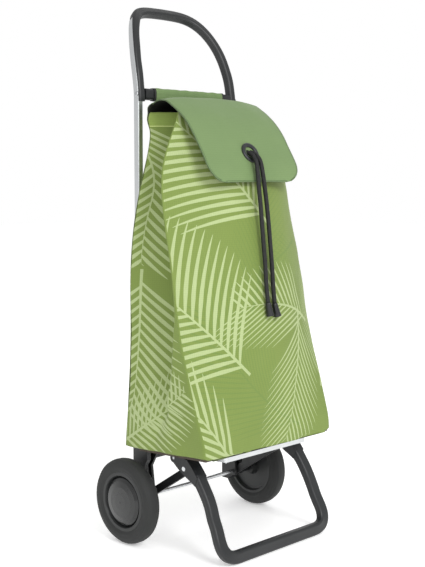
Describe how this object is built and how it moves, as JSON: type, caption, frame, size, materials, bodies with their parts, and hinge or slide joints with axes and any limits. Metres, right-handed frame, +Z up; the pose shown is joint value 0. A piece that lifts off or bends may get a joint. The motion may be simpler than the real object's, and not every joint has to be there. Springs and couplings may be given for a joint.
{
  "type": "folding shopping trolley",
  "caption": "Folding shopping trolley: printed fabric bag with drawcord lid on an aluminium frame with loop handle, wheels and a front foot loop",
  "frame": {"origin": "on the ground, under the middle of the trolley's outline", "axes": "+Z up, the bag and the foot face -Y, the handle leans to +Y, +X is to the right seen from the front looking along +Y"},
  "size_m": [0.3974, 0.3423, 1.0424],
  "materials": {
    "anodised_aluminium": "polished, anodised",
    "handle_plastic": "fine moulded grain",
    "frame_plastic": "moulded",
    "foot_coating": "black powder coat",
    "chromed_steel": "bright chromed",
    "zinc_steel": "zinc plated",
    "tyre_rubber": "soft moulded tyre",
    "hub_plastic": "moulded",
    "hubcap_plastic": "glossy dome",
    "bush_nylon": "natural nylon",
    "stud_rubber": "moulded",
    "printed_fabric": "coated polyester with a light leaf print",
    "plain_fabric": "coated polyester, plain green",
    "lining_fabric": "black lining",
    "base_board": "corrugated plastic board",
    "eyelet_plastic": "moulded",
    "cord_braid": "black braided cord",
    "cap_plastic": "moulded cord ends"
  },
  "bodies": {
    "frame": {"rail_left": "anodised_aluminium", "rail_right": "anodised_aluminium", "handle_loop": "handle_plastic", "crossbar": "handle_plastic", "crossbar_sleeve": "plain_fabric", "crossbar_screws": "zinc_steel", "rail_bracket_left": "frame_plastic", "rail_bracket_right": "frame_plastic", "bracket_rivets": "zinc_steel", "lower_tie_bar": "anodised_aluminium", "axle": "chromed_steel", "axle_spacers": "frame_plastic", "axle_push_nuts": "zinc_steel", "fold_hinge_pins": "zinc_steel", "bag_shell": "printed_fabric", "bag_back": "printed_fabric", "back_pocket": "plain_fabric", "drawcord_right": "cord_braid", "drawcord_left": "cord_braid", "drawcord_right_cap": "cap_plastic", "drawcord_left_cap": "cap_plastic"},
    "wheel_left": {"tyre_left": "tyre_rubber", "hub_left": "hub_plastic", "hub_bush_left": "bush_nylon", "hubcap_left": "hubcap_plastic"},
    "wheel_right": {"tyre_right": "tyre_rubber", "hub_right": "hub_plastic", "hub_bush_right": "bush_nylon", "hubcap_right": "hubcap_plastic"},
    "strut_left": {"strut_left": "frame_plastic"},
    "strut_right": {"strut_right": "frame_plastic"},
    "platform": {"platform_frame": "anodised_aluminium", "base_board": "base_board", "base_studs": "stud_rubber"},
    "foot": {"foot_loop": "foot_coating", "strut_rivets": "chromed_steel", "foot_pivot_pins": "zinc_steel"},
    "lid": {"lid_flap": "plain_fabric", "eyelet_front": "eyelet_plastic", "eyelet_washer": "eyelet_plastic"}
  },
  "joints": [
    {"name": "platform_fold", "type": "hinge", "parent": "frame", "child": "platform", "pos_m": [0, 0.046, 0.178], "axis": [-1, 0, 0], "range_deg": [0, 84], "deforming": ["bag_shell"]},
    {"name": "foot_fold", "type": "hinge", "parent": "platform", "child": "foot", "pos_m": [0, -0.034, 0.18], "axis": [1, 0, 0], "range_deg": [0, 121.85]},
    {"name": "strut_left_fold", "type": "hinge", "parent": "frame", "child": "strut_left", "pos_m": [0, 0.066, 0.0825], "axis": [-1, 0, 0], "range_deg": [0, 42.77]},
    {"name": "strut_right_fold", "type": "hinge", "parent": "frame", "child": "strut_right", "pos_m": [0, 0.066, 0.0825], "axis": [-1, 0, 0], "range_deg": [0, 42.77]},
    {"name": "wheel_left_spin", "type": "hinge", "parent": "frame", "child": "wheel_left", "pos_m": [0, 0.066, 0.0825], "axis": [1, 0, 0], "continuous": true},
    {"name": "wheel_right_spin", "type": "hinge", "parent": "frame", "child": "wheel_right", "pos_m": [0, 0.066, 0.0825], "axis": [1, 0, 0], "continuous": true},
    {"name": "lid_open", "type": "hinge", "parent": "frame", "child": "lid", "pos_m": [0, 0.055, 0.85], "axis": [-1, 0, 0], "range_deg": [0, 100], "deforming": ["drawcord_right", "drawcord_left"]}
  ],
  "couplings": [
    {"joint": "foot_fold", "follows": "platform_fold", "ratio": 1.4506},
    {"joint": "strut_left_fold", "follows": "platform_fold", "ratio": 0.50917},
    {"joint": "strut_right_fold", "follows": "platform_fold", "ratio": 0.50917}
  ]
}
